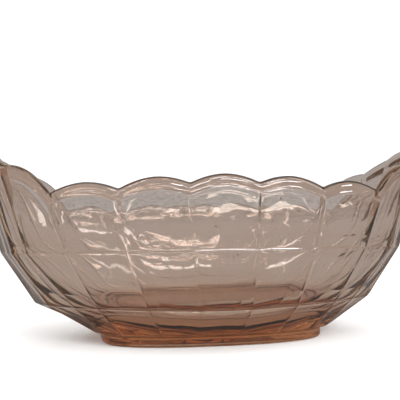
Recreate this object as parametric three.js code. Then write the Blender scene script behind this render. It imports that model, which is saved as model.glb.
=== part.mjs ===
// Pressed glass oval dish, in millimetres, +Z up, long axis along X.
// One piece of glass: a boat-shaped bowl with raised ends, three rows of flat panels round
// the outside, a scalloped rim, a smooth inside and a low oval foot.
// The origin is the centre of the foot's resting face.
import * as THREE from 'three';

// ---- Outside rings: rounded ovals that carry the corners of the flat panels ----
// fullness is the oval's exponent: 2 is an ellipse, less is more pointed, more is squarer.
// columnTaper is how wide a side column is at the ring, as a share of its width at the rim, so
// that all the ridges move together when columnPitch changes.
// bowShares places the two ridges of a bow, as shares of the turn from the last side ridge
// to the tip.
const columnPitch = 33.2; // width of one of the five equal side columns, at the rim
const rimRing = {
  halfLength: 124.5,
  halfWidth: 62.4,
  fullness: 1.76,
  columnTaper: 1,
  bowShares: [0.36, 0.6],
};
const upperRing = {
  height: 47.8,
  halfLength: 112.5,
  halfWidth: 62.5,
  fullness: 1.76,
  columnTaper: 0.8976,
  bowShares: [0.33, 0.52],
};
const lowerRing = {
  height: 20.4,
  halfLength: 95,
  halfWidth: 59.8,
  fullness: 1.53,
  columnTaper: 0.723,
  bowShares: [0.2, 0.52],
};
const baseRing = {
  height: 6.3,
  halfLength: 64.5,
  halfWidth: 42.3,
  fullness: 3,
  columnTaper: 0.5813,
  bowShares: [0.33, 0.55],
};

// ---- Rim ----
const notchHeights = [79.9, 77.8, 76.7, 92.1]; // from the middle of a side towards the bow
const tipHeight = 104.2;
const sideScallopRise = 4;
const rimEdgeSteps = 4;

// ---- Wall and floor ----
const sideWall = 4.6;
const tipWall = 6;
const floorThickness = 12.5;
const lowerWall = 7;
const floorSetback = 9; // from the base ring in to the edge of the inside floor
const liningSteps = 9;

// ---- Foot ----
const footSetback = 3.8; // from the base ring in to the foot's side
const footEdgeRadius = 2;
const footEdgeSteps = 2;
const restWidth = 7;
const recessDepth = 1.2;

// ---- Facets ----
const sideRidges = [0.5, 1.5, 2.5]; // in column pitches from the middle
const slicesPerColumn = 4;

// The point of a ring at a turn from the side's middle (0) to the tip (a quarter turn).
function ovalPoint(ring, turn, inset, tipInset) {
  const power = 2 / ring.fullness;
  const x = (ring.halfLength - tipInset) * Math.sin(turn) ** power;
  const y = (ring.halfWidth - inset) * Math.cos(turn) ** power;
  return [x, y];
}

// The turns of one quarter's ridges: side ridges, bow ridges and the tip.
function ridgeTurns(ring) {
  const power = ring.fullness / 2;
  const pitch = columnPitch * ring.columnTaper;
  const side = sideRidges.map((count) => Math.asin(((count * pitch) / ring.halfLength) ** power));
  const last = side[side.length - 1];
  const bow = ring.bowShares.map((share) => last + share * (Math.PI / 2 - last));
  return [...side, ...bow, Math.PI / 2];
}

// One station is a place round the dish. Within its quarter it lies in a column, a share of
// the way from the ridge before it to the ridge after it. Quarters are mirrored by the signs.
function quarterStations() {
  const columns = sideRidges.length + rimRing.bowShares.length + 1;
  const stations = [];
  for (let column = 0; column < columns; column++) {
    const first = column === 0 ? slicesPerColumn / 2 : 0;
    for (let slice = first; slice < slicesPerColumn; slice++) {
      stations.push({ column, share: slice / slicesPerColumn });
    }
  }
  stations.push({ column: columns - 1, share: 1 });
  return stations;
}

function allStations() {
  const quarter = quarterStations();
  const back = [...quarter].reverse();
  const stations = [];
  const quarters = [
    { list: quarter, signX: 1, signY: -1 },
    { list: back, signX: 1, signY: 1 },
    { list: quarter, signX: -1, signY: 1 },
    { list: back, signX: -1, signY: -1 },
  ];
  for (const { list, signX, signY } of quarters) {
    for (const station of list.slice(0, -1)) {
      stations.push({ ...station, signX, signY });
    }
  }
  return stations;
}

function turnsBeside(ring, column) {
  const turns = ridgeTurns(ring);
  const before = column === 0 ? -turns[0] : turns[column - 1];
  return [before, turns[column]];
}

// A station on the flat-sided outline: the straight chord between two ridges.
function chordPoint(ring, station, inset = 0, tipInset = inset) {
  const [before, after] = turnsBeside(ring, station.column);
  const start = ovalPoint(ring, Math.abs(before), inset, tipInset);
  if (before < 0) start[0] = -start[0];
  const end = ovalPoint(ring, after, inset, tipInset);
  return [
    station.signX * THREE.MathUtils.lerp(start[0], end[0], station.share),
    station.signY * THREE.MathUtils.lerp(start[1], end[1], station.share),
  ];
}

// The same station on the smooth oval inside.
function smoothPoint(ring, station, inset, tipInset = inset) {
  const [before, after] = turnsBeside(ring, station.column);
  const turn = THREE.MathUtils.lerp(before, after, station.share);
  const [x, y] = ovalPoint(ring, turn, inset, tipInset);
  return [station.signX * x, station.signY * y];
}

// The height of the rim's top. Each side column has one scallop between two notches; the
// columns past the last notch share the tall scallop of the tip.
function rimHeight(station) {
  const { column, share } = station;
  if (column < notchHeights.length) {
    const start = notchHeights[Math.max(column - 1, 0)];
    const arch = 4 * share * (1 - share) * sideScallopRise;
    return THREE.MathUtils.lerp(start, notchHeights[column], share) + arch;
  }
  const lastNotch = notchHeights.length - 1;
  const turns = ridgeTurns(rimRing);
  const [before, after] = turnsBeside(rimRing, column);
  const turn = THREE.MathUtils.lerp(before, after, share);
  const fromTip = (Math.PI / 2 - turn) / (Math.PI / 2 - turns[lastNotch]);
  return THREE.MathUtils.lerp(tipHeight, notchHeights[lastNotch], fromTip ** 2);
}

// The glass section at one station, from the centre of the underside out to the rim and
// down the inside to the centre of the floor.
function section(station) {
  const points = [];
  const add = ([x, y], z) => points.push(new THREE.Vector3(x, y, z));

  // Foot: recessed underside, flat resting face, rounded lower edge, side.
  const footInset = footSetback + footEdgeRadius;
  add(smoothPoint(baseRing, station, footInset + restWidth + recessDepth), recessDepth);
  add(smoothPoint(baseRing, station, footInset + restWidth), 0);
  for (let step = 0; step <= footEdgeSteps; step++) {
    const angle = ((step / footEdgeSteps) * Math.PI) / 2;
    const inset = footInset - footEdgeRadius * Math.sin(angle);
    add(smoothPoint(baseRing, station, inset), footEdgeRadius * (1 - Math.cos(angle)));
  }
  add(smoothPoint(baseRing, station, footSetback), baseRing.height - footSetback / 3);

  // Three rows of flat panels.
  add(chordPoint(baseRing, station), baseRing.height);
  add(chordPoint(lowerRing, station), lowerRing.height);
  add(chordPoint(upperRing, station), upperRing.height);

  // Rounded rim.
  const top = rimHeight(station);
  const rimRadius = sideWall / 2;
  for (let step = 0; step <= rimEdgeSteps; step++) {
    const angle = (step / rimEdgeSteps) * Math.PI;
    const inset = rimRadius * (1 - Math.cos(angle));
    add(chordPoint(rimRing, station, inset), top - rimRadius + rimRadius * Math.sin(angle));
  }

  // Smooth lining: one flowing curve from the rim's inner edge to the floor's edge.
  const rimEdge = points[points.length - 1];
  const guide = [rimEdge];
  const guideAt = ([x, y], z) => guide.push(new THREE.Vector3(x, y, z));
  guideAt(smoothPoint(upperRing, station, sideWall, tipWall), upperRing.height);
  guideAt(smoothPoint(lowerRing, station, lowerWall, lowerWall), lowerRing.height + lowerWall / 2);
  guideAt(smoothPoint(baseRing, station, floorSetback), floorThickness);
  const lining = new THREE.CatmullRomCurve3(guide, false, 'centripetal');
  points.push(...lining.getPoints(liningSteps).slice(1));
  return points;
}

// Sections joined round the dish, closed at the middle of the underside and of the floor.
function glassGeometry() {
  const sections = allStations().map(section);
  const around = sections.length;
  const along = sections[0].length;
  const positions = sections.flatMap((points) => points.flatMap((p) => [p.x, p.y, p.z]));
  const underside = positions.length / 3;
  positions.push(0, 0, recessDepth);
  const floor = underside + 1;
  positions.push(0, 0, floorThickness);

  const indices = [];
  for (let i = 0; i < around; i++) {
    const here = i * along;
    const next = ((i + 1) % around) * along;
    indices.push(underside, next, here);
    for (let j = 0; j < along - 1; j++) {
      indices.push(here + j, next + j, next + j + 1);
      indices.push(here + j, next + j + 1, here + j + 1);
    }
    indices.push(floor, here + along - 1, next + along - 1);
  }
  const geometry = new THREE.BufferGeometry();
  geometry.setAttribute('position', new THREE.Float32BufferAttribute(positions, 3));
  geometry.setIndex(indices);
  geometry.computeVertexNormals();
  return geometry;
}

const pinkGlass = new THREE.MeshStandardMaterial({
  color: 0xd9b3a0,
  roughness: 0.06,
  metalness: 0,
  transparent: true,
  opacity: 0.55,
});

const dish = new THREE.Mesh(glassGeometry(), pinkGlass);
dish.name = 'pressed_glass_dish';

const candyDish = new THREE.Group();
candyDish.add(dish);

export default candyDish;
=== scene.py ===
# A pink pressed glass dish, oval and boat-shaped, standing on a pale floor.
# Metres, +Z up, the long axis along X, the origin under the middle of the foot.
import math

import bpy
from mathutils import Matrix, Vector


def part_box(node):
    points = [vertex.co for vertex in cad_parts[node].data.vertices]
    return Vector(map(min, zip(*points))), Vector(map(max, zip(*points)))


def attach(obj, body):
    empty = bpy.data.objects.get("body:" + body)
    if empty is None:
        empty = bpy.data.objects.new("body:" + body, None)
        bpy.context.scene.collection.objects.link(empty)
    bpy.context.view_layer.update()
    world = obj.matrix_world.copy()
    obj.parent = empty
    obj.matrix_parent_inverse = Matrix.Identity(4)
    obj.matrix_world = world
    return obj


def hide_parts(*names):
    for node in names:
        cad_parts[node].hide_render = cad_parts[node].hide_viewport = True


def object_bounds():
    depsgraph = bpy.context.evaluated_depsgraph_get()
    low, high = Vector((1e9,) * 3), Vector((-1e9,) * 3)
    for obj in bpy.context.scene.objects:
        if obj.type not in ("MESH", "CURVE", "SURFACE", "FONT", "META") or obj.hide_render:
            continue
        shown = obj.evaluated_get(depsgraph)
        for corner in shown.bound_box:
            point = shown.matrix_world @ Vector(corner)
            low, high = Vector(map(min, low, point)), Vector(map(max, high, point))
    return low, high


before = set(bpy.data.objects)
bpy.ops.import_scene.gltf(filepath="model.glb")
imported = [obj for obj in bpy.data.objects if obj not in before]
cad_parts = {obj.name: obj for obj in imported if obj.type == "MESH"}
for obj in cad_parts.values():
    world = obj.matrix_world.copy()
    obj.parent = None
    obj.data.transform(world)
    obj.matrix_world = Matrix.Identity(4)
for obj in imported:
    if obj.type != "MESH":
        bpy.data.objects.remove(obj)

cad_low, cad_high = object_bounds()
glass_node = "pressed_glass_dish"

# ---- Camera ----
# The camera stands in front of one long side, level with the upper half of the bowl and left of
# its middle. It is held very slightly off the level, and the lens is shifted a little upwards.
eye = Vector((-0.0469, -0.3243, 0.0570))
heading = math.radians(7.46)  # from +Y towards +X
tilt_of_hand = math.radians(-0.96)
camera_data = bpy.data.cameras.new("camera")
camera_data.sensor_width = 36
camera_data.lens = 52.43
camera_data.shift_y = 0.08
camera_data.clip_start = 0.01
camera_data.clip_end = 50
camera = bpy.data.objects.new("camera", camera_data)
bpy.context.scene.collection.objects.link(camera)
level = Matrix.Rotation(-heading, 4, "Z") @ Matrix.Rotation(math.radians(90), 4, "X")
camera.matrix_world = Matrix.Translation(eye) @ level @ Matrix.Rotation(tilt_of_hand, 4, "Z")
bpy.context.scene.camera = camera

# ---- The dish ----
# One body of pale pink glass, pressed in an iron mould: three rows of flat panels round the
# outside, a scalloped rim, a smooth inside where the plunger was, and a low oval foot.
# The skin is a grid laid along the section and round the dish, on corners set by ring and ridge.
glass_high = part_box(glass_node)[1]
column_count = 22
quarter = column_count / 4  # columns from the middle of a side to a tip
ridges = [0.5, 1.5, 2.5, 3.5, 4.5, 5.5]  # where the ridges stand, in columns from a side's middle
notches = ridges[:4]
panels_start, panels_end = 5, 8  # rows of the section: the base ring and the rim


class Wire:
    """A socket of a node tree that works in sums: values make Math nodes, vectors Vector Math."""

    def __init__(self, tree, socket=None):
        self.tree = tree
        self.socket = socket

    def node(self, kind, settings=None, inputs=None, output=0):
        """Adds a node with these settings and inputs, and gives one of its outputs."""
        made = self.tree.nodes.new(kind)
        for name, value in (settings or {}).items():
            setattr(made, name, value)
        for name, value in (inputs or {}).items():
            if isinstance(value, Wire):
                self.tree.links.new(value.socket, made.inputs[name])
            else:
                made.inputs[name].default_value = value
        return Wire(self.tree, None if output is None else made.outputs[output])

    def other(self, name):
        """Another output of the same node."""
        return Wire(self.tree, self.socket.node.outputs[name])

    def maths(self, operation, *values):
        """A Math node, or a Vector Math node where any of the values is a vector or colour."""
        vectors = [v for v in (self, *values) if is_vector(v)]
        kind = "ShaderNodeVectorMath" if vectors else "ShaderNodeMath"
        sockets = dict(enumerate((self, *values)))
        if vectors:
            plain = {i: (v, v, v) for i, v in sockets.items() if isinstance(v, (int, float))}
            sockets.update(plain)
        return self.node(kind, {"operation": operation}, sockets)

    def __add__(self, other):
        return self.maths("ADD", other)

    def __radd__(self, other):
        return self.maths("ADD", other)

    def __sub__(self, other):
        return self.maths("SUBTRACT", other)

    def __rsub__(self, other):
        return (self * -1) + other

    def __mul__(self, other):
        return self.maths("MULTIPLY", other)

    def __rmul__(self, other):
        return self.maths("MULTIPLY", other)

    def __truediv__(self, other):
        return self.maths("DIVIDE", other)


def is_vector(value):
    if isinstance(value, Wire):
        return value.socket.type in ("VECTOR", "RGBA")
    return isinstance(value, (tuple, Vector))


def ramp(value, low, high, at_low=0.0, at_high=1.0):
    """Follows value smoothly from at_low, at low, to at_high, at high, and stays level outside."""
    return value.node(
        "ShaderNodeMapRange",
        {"interpolation_type": "SMOOTHSTEP"},
        {"Value": value, "From Min": low, "From Max": high, "To Min": at_low, "To Max": at_high},
    )


def between(value, start, full, fade, end):
    """One from full to fade, nothing before start and after end."""
    return ramp(value, start, full) * ramp(value, fade, end, at_low=1, at_high=0)


def blend(share, first, second):
    """A colour between two colours."""
    colours = {0: share, 6: first, 7: second}
    return share.node("ShaderNodeMix", {"data_type": "RGBA"}, colours, output=2)


def ridge_places(fullness, column, bow):
    """A ring's ridges from a side's middle to the tip, as shares of its half length and width.
    fullness is the oval's exponent, column a side column's width as a share of the half length,
    and bow places the two ridges of a bow between the last side ridge and the tip."""
    side = [math.asin((count * column) ** (fullness / 2)) for count in ridges[:3]]
    left = math.pi / 2 - side[-1]
    turns = side + [side[-1] + share * left for share in (*bow, 1)]
    power = 2 / fullness
    return [(math.sin(turn) ** power, math.cos(turn) ** power) for turn in turns]


# Height, half length and half width of each ring, as shares of the glass box.
rim_bow = (0.36, 0.6)
rings = {
    "Base": {
        "sizes": (0.0605, 0.5181, 0.6880),
        "places": ridge_places(3, 0.2992, (0.33, 0.55)),
    },
    "Lower": {
        "sizes": (0.1958, 0.7631, 0.9727),
        "places": ridge_places(1.53, 0.2526, (0.2, 0.52)),
    },
    "Upper": {
        "sizes": (0.4587, 0.9036, 1.0166),
        "places": ridge_places(1.76, 0.2649, (0.33, 0.52)),
    },
    "Rim": {
        "sizes": (1, 1, 1.0149),
        "places": ridge_places(1.76, 0.2667, rim_bow),
    },
}

dish_sizes = {
    "Notch 1": 0.0799,
    "Notch 2": 0.0778,
    "Notch 3": 0.0767,
    "Notch 4": 0.0921,
    "Scallop rise": 0.0040,
    "Notch rounding": 0.02,  # in columns
    "Ridge rounding": 0.030,  # in columns
    "Edge rounding": 0.030,  # in rows of panels
    "Panel hollow": 0.0005,
    "Ridge bead width": 0.03,  # in columns and rows
    "Ridge bead rise": 0.00022,
    "Wall": 0.0040,
    "Rim crown": 0.0003,  # how far the bead stands above the line of the rim
    "Bead height": 0.0060,
    "Bead wall": 0.0056,
    "Lower wall": 0.0050,
    "Floor thickness": 0.0120,
    "Floor setback": 0.0085,
    "Foot setback": 0.0032,
    "Rest width": 0.0070,
    "Recess depth": 0.0012,
}
for name, ring in rings.items():
    high, long, wide = ring["sizes"]
    dish_sizes[f"{name} height"] = high * glass_high.z
    dish_sizes[f"{name} half length"] = long * glass_high.x
    dish_sizes[f"{name} half width"] = wide * glass_high.y

# Where and how softly the section turns between those sizes.
bead_shoulder = 0.8  # below the rim's top, as a share of the bead's height
bead_crest = 0.85  # in from the outside, as a share of the bead's wall
foot_lean = 0.35  # below the base ring, as a share of the foot's setback
lining_lift = 0.6  # above the lower ring, as a share of the lower wall
edge = dish_sizes["Edge rounding"]
corner_roundings = [0.1, 0.3, 0.5, 0.3, edge * 2, edge, edge, 0.3, 1, 1, 0.3, 0.8, 1, 1, 1]  # in rows
weld_distance = 0.00002  # closes the last column on the first, and the two middles

# The grid's stretches along the section: their first row, how many rows of the section they
# cover, the faces in each, and how far those draw towards the corners.
slices = 22  # faces across a column
slice_gather = 0.85
stretches = [
    {"first": 0, "count": 5, "faces": 6, "gather": 0.5},
    {"first": 5, "count": 3, "faces": 16, "gather": 0.85},
    {"first": 8, "count": 3, "faces": 8, "gather": 0.0},
    {"first": 11, "count": 5, "faces": 9, "gather": 0.0},
]


def hinges(across, rounding):
    """How far a place is past each ridge, in columns, with the turn at the ridge rounded."""
    past = [(across - ridge).maths("SMOOTH_MAX", 0, rounding) for ridge in ridges]
    mirrored = (-0.5 - across).maths("SMOOTH_MAX", 0, rounding)
    return [mirrored, *past]


def ring_outline(places, across, bends):
    """A ring's outline as shares of its half length and half width: straight from ridge to ridge,
    turned at each by the hinge there."""
    steps = [(2 * places[0][0], 0)]
    steps += [(b[0] - a[0], b[1] - a[1]) for a, b in zip(places, places[1:])]
    steps.append((-steps[-1][0], steps[-1][1]))
    turns = [(b[0] - a[0], b[1] - a[1]) for a, b in zip(steps, steps[1:])]
    outline = across.maths("MULTIPLY_ADD", (*steps[0], 0), (0, places[0][1], 0))
    mirrored = (-turns[0][0], turns[0][1])
    for turn, bend in zip((mirrored, *turns), bends):
        outline = bend.maths("MULTIPLY_ADD", (*turn, 0), outline)
    return outline


def rim_top(across, size):
    """The height of the rim: a scallop on each side column and a tall one over the tip."""
    heights = [size[f"Notch {count}"] for count in (1, 2, 3, 4)]
    line = heights[0]
    for step in range(3):
        share = across.node("ShaderNodeClamp", inputs={0: across - notches[step], 1: 0.0, 2: 1.0})
        line = line + (heights[step + 1] - heights[step]) * share
    apart = (across + 0.5).maths("PINGPONG", 0.5)
    soft = size["Notch rounding"]
    apart = (apart * apart + soft * soft).maths("SQRT") - soft
    scallops = line + 4 * size["Scallop rise"] * apart * (1 - apart)
    left_at = [1 - turn for turn in (*rim_bow, 1)]
    slope = (left_at[1] - left_at[0]) / left_at[0]
    second = (left_at[2] - left_at[1]) / left_at[0] - slope
    beyond = (across - ridges[4]).maths("MAXIMUM", 0)
    from_tip = (across - notches[-1]) * slope + beyond * second + 1
    tip = size["Rim height"] - (size["Rim height"] - heights[3]) * from_tip * from_tip
    side = across.maths("LESS_THAN", notches[-1])
    return side * scallops + (1 - side) * tip


def rounded_path(points, roundings, along):
    """A path through points, one apart, turned at each inner point with its rounding."""
    steps = [b - a for a, b in zip(points, points[1:])]
    path = along.maths("MULTIPLY_ADD", steps[0], points[0])
    for count, rounding in enumerate(roundings, start=1):
        bend = (along - count).maths("SMOOTH_MAX", 0, rounding)
        path = bend.maths("MULTIPLY_ADD", steps[count] - steps[count - 1], path)
    return path


def gathered(count, parts, gather):
    """Even steps drawn towards whole numbers by gather, so that faces crowd at the corners."""
    turn = count / parts
    wave = (turn * (2 * math.pi)).maths("SINE")
    return turn - wave * (gather / (2 * math.pi))


def dish_tree():
    """The dish's node tree, with its sizes as named inputs."""
    tree = bpy.data.node_groups.new("pressed_dish", "GeometryNodeTree")
    interface = tree.interface
    interface.new_socket("Geometry", in_out="INPUT", socket_type="NodeSocketGeometry")
    for name in dish_sizes:
        interface.new_socket(name, in_out="INPUT", socket_type="NodeSocketFloat")
    interface.new_socket("Material", in_out="INPUT", socket_type="NodeSocketMaterial")
    interface.new_socket("Geometry", in_out="OUTPUT", socket_type="NodeSocketGeometry")
    start = Wire(tree)
    given = start.node("NodeGroupInput")
    size = {name: given.other(name) for name in dish_sizes}

    # Grids laid side by side along the section, with each point's place kept on it.
    skins = []
    for stretch in stretches:
        across_count = column_count * slices + 1
        along_count = stretch["count"] * stretch["faces"] + 1
        grid = start.node("GeometryNodeMeshGrid", inputs={2: across_count, 3: along_count})
        index = start.node("GeometryNodeInputIndex")
        station = (index / along_count).maths("FLOOR")
        step = index - station * along_count

        around = gathered(station - slices / 2, slices, slice_gather) + 0.5
        along = gathered(step, stretch["faces"], stretch["gather"]) + stretch["first"]
        for name, value in (("around", around), ("along", along)):
            grid = start.node(
                "GeometryNodeStoreNamedAttribute",
                {"data_type": "FLOAT", "domain": "POINT"},
                {"Geometry": grid, "Name": name, "Value": value},
            )
        skins.append(grid)
    joined = tree.nodes.new("GeometryNodeJoinGeometry")
    for skin in reversed(skins):
        tree.links.new(skin.socket, joined.inputs[0])
    skin = Wire(tree, joined.outputs[0])

    def stored(name):
        return start.node("GeometryNodeInputNamedAttribute", {"data_type": "FLOAT"}, {"Name": name})

    around, along = stored("around"), stored("along")
    across = around.maths("PINGPONG", quarter)
    sign_x = (2 * quarter - around).maths("SIGN")
    sign_y = (around.maths("PINGPONG", 2 * quarter) - quarter).maths("SIGN")
    crisp = hinges(across, size["Ridge rounding"])
    smooth = hinges(across, 1)
    outlines = {
        (name, bends is crisp): ring_outline(ring["places"], across, bends)
        for name, ring in rings.items()
        for bends in (crisp, smooth)
    }

    def on_ring(name, height, inset=0, panelled=True):
        """A corner of the section: this ring, moved in by inset, at this height."""
        long = (size[f"{name} half length"] - inset) * sign_x
        wide = (size[f"{name} half width"] - inset) * sign_y
        spread = start.node("ShaderNodeCombineXYZ", inputs={0: long, 1: wide, 2: 0.0})
        lift = start.node("ShaderNodeCombineXYZ", inputs={0: 0.0, 1: 0.0, 2: height})
        return outlines[name, panelled] * spread + lift

    def at_centre(height):
        return start.node("ShaderNodeCombineXYZ", inputs={0: 0.0, 1: 0.0, 2: height})

    top = rim_top(across, size)
    wall, foot = size["Wall"], size["Foot setback"]
    rest = foot + size["Rest width"]
    neck = size["Base height"] - foot * foot_lean
    crown = top + size["Rim crown"]
    lower_lining = size["Lower height"] + size["Lower wall"] * lining_lift
    lip = on_ring("Rim", top, wall) * 0.5 + on_ring("Upper", size["Upper height"], wall) * 0.5
    section = [
        at_centre(size["Recess depth"]),
        on_ring("Base", size["Recess depth"], rest + size["Recess depth"], False),
        on_ring("Base", 0.0, rest, False),
        on_ring("Base", 0.0, foot, False),
        on_ring("Base", neck, foot, False),
        on_ring("Base", size["Base height"]),
        on_ring("Lower", size["Lower height"]),
        on_ring("Upper", size["Upper height"]),
        on_ring("Rim", top - size["Bead height"] * bead_shoulder),
        on_ring("Rim", crown),
        on_ring("Rim", crown, size["Bead wall"] * bead_crest),
        on_ring("Rim", top - size["Bead height"], size["Bead wall"]),
        lip,
        on_ring("Upper", size["Upper height"], wall, False),
        on_ring("Lower", lower_lining, size["Lower wall"], False),
        on_ring("Base", size["Floor thickness"], size["Floor setback"], False),
        at_centre(size["Floor thickness"]),
    ]
    place = rounded_path(section, corner_roundings, along)
    skin = start.node("GeometryNodeSetPosition", inputs={"Geometry": skin, "Position": place})
    welded = {"Geometry": skin, "Distance": weld_distance}
    skin = start.node("GeometryNodeMergeByDistance", inputs=welded)

    # Each panel is very slightly hollow, and the mould leaves a fine bead on every ridge. The
    # dip is one at a panel's middle and nothing at its edges.
    in_column = (around + 0.5).maths("FRACT")
    in_row = along.maths("FRACT")
    on_panels = along.maths("GREATER_THAN", panels_start) * along.maths("LESS_THAN", panels_end)
    dip = in_column * (1 - in_column) * in_row * (1 - in_row) * 16
    from_upright = (around + 0.5).maths("PINGPONG", 0.5)
    from_level = along.maths("PINGPONG", 0.5)
    beads = [
        ramp(distance, 0, size["Ridge bead width"], at_low=1, at_high=0)
        for distance in (from_upright, from_level)
    ]
    bead = beads[0].maths("MAXIMUM", beads[1]) * size["Ridge bead rise"]
    normal = start.node("GeometryNodeInputNormal")
    outward = normal * ((bead - dip * size["Panel hollow"]) * on_panels)
    skin = start.node("GeometryNodeSetPosition", inputs={"Geometry": skin, "Offset": outward})
    skin = start.node("GeometryNodeSetShadeSmooth", inputs={"Geometry": skin})
    skin = start.node("GeometryNodeRealizeInstances", inputs={"Geometry": skin})
    skin = start.node(
        "GeometryNodeSetMaterial", inputs={"Geometry": skin, "Material": given.other("Material")}
    )
    start.node("NodeGroupOutput", inputs={0: skin}, output=None)
    return tree


def pink_glass():
    """Pale pink glass: clear at the surface and tinted by its depth. The mould and the plunger
    leave a slow swell and a fine ripple, a level grain runs round under the rim's bead, a few
    seeds sit near the skin, and the foot and the ridges are softly worn."""
    material = bpy.data.materials.new("pink_glass")
    material.use_nodes = True
    material.node_tree.nodes.clear()
    start = Wire(material.node_tree)
    place = start.node("ShaderNodeTexCoord", output="Object")
    along = start.node("ShaderNodeAttribute", {"attribute_name": "along"}, output="Fac")
    around = start.node("ShaderNodeAttribute", {"attribute_name": "around"}, output="Fac")

    def noise(where, scale, detail):
        inputs = {"Vector": where, "Scale": scale, "Detail": detail}
        return start.node("ShaderNodeTexNoise", inputs=inputs)

    streaks = noise(place * (1, 1, 0.35), scale=28, detail=2)  # drawn out upwards
    grain = noise(place * (0.3, 0.3, 1), scale=1500, detail=2)  # drawn out level
    rubbed = noise(place, scale=420, detail=3)
    swell = noise(place, scale=68, detail=1)
    ripple = noise(place, scale=190, detail=1)
    cells = {"Vector": place, "Scale": 110}
    from_seed = start.node("ShaderNodeTexVoronoi", inputs=cells, output="Distance")
    chance = start.node("ShaderNodeSeparateColor", inputs={0: from_seed.other("Color")})
    seeds = ramp(from_seed, 0.045, 0.075, at_low=1, at_high=0) * chance.maths("GREATER_THAN", 0.25)

    # Where the finishes lie, in rows of the section and in columns.
    on_band = between(along, 7.42, 7.6, 7.9, 8.0)
    on_rest = between(along, 1.8, 2.0, 3.2, 3.5)
    on_lining = ramp(along, 10.5, 11.5)
    on_panels = along.maths("GREATER_THAN", panels_start) * along.maths("LESS_THAN", panels_end)
    from_ridge = (around + 0.5).maths("PINGPONG", 0.5)
    on_ridge = ramp(from_ridge, 0.012, 0.03, at_low=1, at_high=0) * on_panels

    # Colour: streaks of two pinks, a greyer grain on the band, brown seeds.
    shell_pink, dusty_pink = (0.955, 0.885, 0.85, 1), (0.945, 0.87, 0.84, 1)
    grain_grey, seed_brown = (0.76, 0.71, 0.69, 1), (0.42, 0.30, 0.25, 1)
    pink = blend(ramp(streaks, 0.35, 0.65), shell_pink, dusty_pink)
    brushed = blend(on_band * ramp(grain, 0.42, 0.62), pink, grain_grey)
    colour = blend(seeds, brushed, seed_brown)

    # Roughness: wear on the resting ring and the ridges, and the band's grain.
    rough = (
        on_rest * ramp(rubbed, 0.4, 0.6, at_low=0.04, at_high=0.14)
        + on_ridge * ramp(rubbed, 0.45, 0.7, at_high=0.08)
        + on_band * ramp(grain, 0.4, 0.6, at_high=0.05)
    )

    # Heights in metres: the plunger leaves a deeper swell on the lining than the mould outside.
    swell_height, more_on_lining, ripple_height = 0.00014, 0.00022, 0.00003
    grain_height, wear_height, seed_depth = 0.000012, 0.00002, 0.00008
    height = (
        (swell - 0.5) * (swell_height + on_lining * more_on_lining)
        + (ripple - 0.5) * ripple_height
        + (grain - 0.5) * on_band * grain_height
        + (rubbed - 0.5) * on_rest * wear_height
        - seeds * seed_depth
    )
    waves = start.node("ShaderNodeBump", inputs={"Strength": 1, "Distance": 1, "Height": height})
    surface = start.node(
        "ShaderNodeBsdfPrincipled",
        inputs={
            "Base Color": colour,
            "Roughness": rough,
            "Normal": waves,
            "IOR": 1.52,
            "Transmission Weight": 0.985,
        },
    )
    tint = {"Color": (0.873, 0.479, 0.054, 1), "Density": 32}
    depth = start.node("ShaderNodeVolumeAbsorption", inputs=tint)
    start.node("ShaderNodeOutputMaterial", inputs={"Surface": surface, "Volume": depth}, output=None)
    return material


glass = pink_glass()
maker = bpy.data.objects.new("dish_maker", bpy.data.meshes.new("dish_maker"))
bpy.context.scene.collection.objects.link(maker)
pressing = maker.modifiers.new("pressing", "NODES")
pressing.node_group = dish_tree()
for socket in pressing.node_group.interface.items_tree:
    if socket.in_out == "INPUT" and socket.name in dish_sizes:
        pressing[socket.identifier] = dish_sizes[socket.name]
    if socket.in_out == "INPUT" and socket.name == "Material":
        pressing[socket.identifier] = glass
pressed = maker.evaluated_get(bpy.context.evaluated_depsgraph_get())
dish = bpy.data.objects.new("glass_dish", bpy.data.meshes.new_from_object(pressed))
bpy.context.scene.collection.objects.link(dish)
bpy.data.objects.remove(maker)
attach(dish, "root")
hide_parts(glass_node)

# ---- Floor ----
# A sheet of white paper that runs back under the dish. The lens alone sees it white. To every
# other ray, such as one out of the glass, it is a mid grey with a painted brown shadow under the
# dish.
room_grey = 0.425


def stage_floor():
    material = bpy.data.materials.new("pale_floor")
    material.use_nodes = True
    material.node_tree.nodes.clear()
    start = Wire(material.node_tree)
    paper_white = (0.96, 0.96, 0.96, 1)
    # Painted shadow: the dish's shade on the floor, brown as if tinted by light through the glass.
    painted_shadow_brown = (0.25, 0.17, 0.132, 1)
    grey = (room_grey, room_grey, room_grey, 1)
    # The size of the painted shadow.
    shadow_length, shadow_width = 0.11, 0.065  # from the middle
    seen = start.node("ShaderNodeLightPath", output="Is Camera Ray")
    paper = start.node("ShaderNodeBsdfDiffuse", inputs={"Color": paper_white})
    place = start.node("ShaderNodeTexCoord", output="Object")
    spread = place * (1 / shadow_length, 1 / shadow_width, 0)
    apart = start.node("ShaderNodeVectorMath", {"operation": "LENGTH"}, {0: spread}, "Value")
    # Painted shadow: the grey turns darker and browner towards the middle, under the dish.
    grey_with_painted_shadow = blend(ramp(apart, 0.5, 0.95), painted_shadow_brown, grey)
    through = start.node("ShaderNodeEmission", inputs={"Color": grey_with_painted_shadow, "Strength": 1.0})
    shown = start.node("ShaderNodeMixShader", inputs={0: seen, 1: through, 2: paper})
    start.node("ShaderNodeOutputMaterial", inputs={"Surface": shown}, output=None)
    return material


floor_mesh = bpy.data.meshes.new("floor")
reach = 6.0
floor_level = cad_low.z - 0.0002  # just clear of the resting ring
corners = [(-reach, -reach), (reach, -reach), (reach, reach), (-reach, reach)]
floor_mesh.from_pydata([(x, y, floor_level) for x, y in corners], [], [(0, 1, 2, 3)])
floor_mesh.materials.append(stage_floor())
floor = bpy.data.objects.new("floor", floor_mesh)
bpy.context.scene.collection.objects.link(floor)

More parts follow.
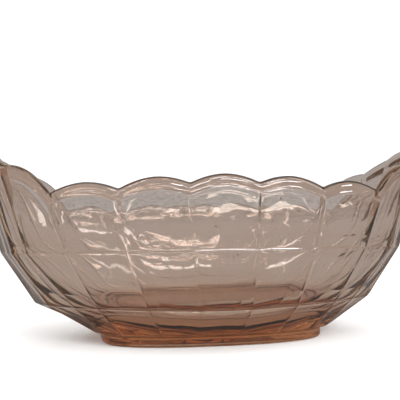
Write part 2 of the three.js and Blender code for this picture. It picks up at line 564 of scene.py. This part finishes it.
# ---- Room ----
# A white room, as the lens and the paper see it. Through the glass it is grey air, dimmer in
# front and overhead, with brown wood at both ends and a narrow dark stand to the right. A
# reflection off the outer skin also has a pale, slightly warm sweep from behind the dish.
white_air = (1.2, 1.2, 1.2, 1)
wood_brown = (0.24, 0.145, 0.10, 1)
stand_brown = (0.10, 0.065, 0.05, 1)
front_share, overhead_share = 0.80, 0.42
wood_share = 0.95
sweep_light = 1.2
sweep_less_green, sweep_less_blue = 0.10, 0.16

world = bpy.data.worlds.new("room")
bpy.context.scene.world = world
world.use_nodes = True
world.node_tree.nodes.clear()
start = Wire(world.node_tree)
path = start.node("ShaderNodeLightPath", output="Is Camera Ray")
direct = path.maths("MAXIMUM", path.other("Is Diffuse Ray"))
towards = start.node("ShaderNodeTexCoord", output="Generated")
side, back, up = (
    start.node("ShaderNodeSeparateXYZ", inputs={0: towards}, output=axis) for axis in "XYZ"
)
behind = ramp(back, -0.2, 0.5, at_low=front_share)
above = ramp(up, 0.6, 0.95, at_low=1, at_high=overhead_share)
mirrored = path.other("Transmission Depth").maths("LESS_THAN", 0.5)
sweep = mirrored * ramp(back, 0, 0.5, at_high=sweep_light)
shade = room_grey * (behind * above + sweep)
warm = sweep * room_grey
shades = {0: shade, 1: shade - warm * sweep_less_green, 2: shade - warm * sweep_less_blue}
grey_air = start.node("ShaderNodeCombineColor", inputs=shades)
wood = ramp(side.maths("ABSOLUTE"), 0.48, 0.85, at_high=wood_share)
stand = between(side, 0.39, 0.41, 0.45, 0.47)
glass_air = blend(stand, blend(wood, grey_air, wood_brown), stand_brown)
sky = start.node("ShaderNodeBackground", inputs={"Color": blend(direct, glass_air, white_air)})
start.node("ShaderNodeOutputWorld", inputs={"Surface": sky}, output=None)

# ---- Lights ----
# Soft boxes in front of the dish: a row of window panes with a higher row behind it, three small
# lamps, and a tall strip at each side. The panes put the glow on the far wall's lining.
bowl_middle = (0, 0, 0.05)
stand_off = 1.35


def soft_box(name, place, width, height, power):
    """A light of this width and height at this place, turned to the middle of the bowl."""
    light = bpy.data.lights.new(name, "AREA")
    light.shape = "RECTANGLE"
    light.size = width
    light.size_y = height
    light.energy = power
    lamp = bpy.data.objects.new(name, light)
    lamp.location = place
    aim = Vector(bowl_middle) - Vector(place)
    lamp.rotation_euler = aim.to_track_quat("-Z", "Y").to_euler()
    bpy.context.scene.collection.objects.link(lamp)


def facing(name, turns, rise, width, height, power):
    """Soft boxes in front of the dish, turned from -Y towards +X and raised, in degrees."""
    lift = math.radians(rise)
    for turn in turns:
        swing = math.radians(turn)
        place = (
            stand_off * math.sin(swing) * math.cos(lift),
            -stand_off * math.cos(swing) * math.cos(lift),
            bowl_middle[2] + stand_off * math.sin(lift),
        )
        soft_box(name, place, width, height, power)


facing("pane", (1, 12, 23, 34), rise=17, width=0.20, height=0.13, power=1.3)
facing("high_pane", (8, 21, 34), rise=32, width=0.22, height=0.16, power=1.8)
facing("lamp", (-14, 40, 62), rise=15, width=0.08, height=0.08, power=0.7)
soft_box("left_strip", (-0.75, -1.15, 0.70), width=0.05, height=1.1, power=2.2)
soft_box("right_strip", (0.98, -0.85, 0.70), width=0.05, height=1.1, power=1.2)
bpy.context.scene.view_settings.view_transform = "Standard"
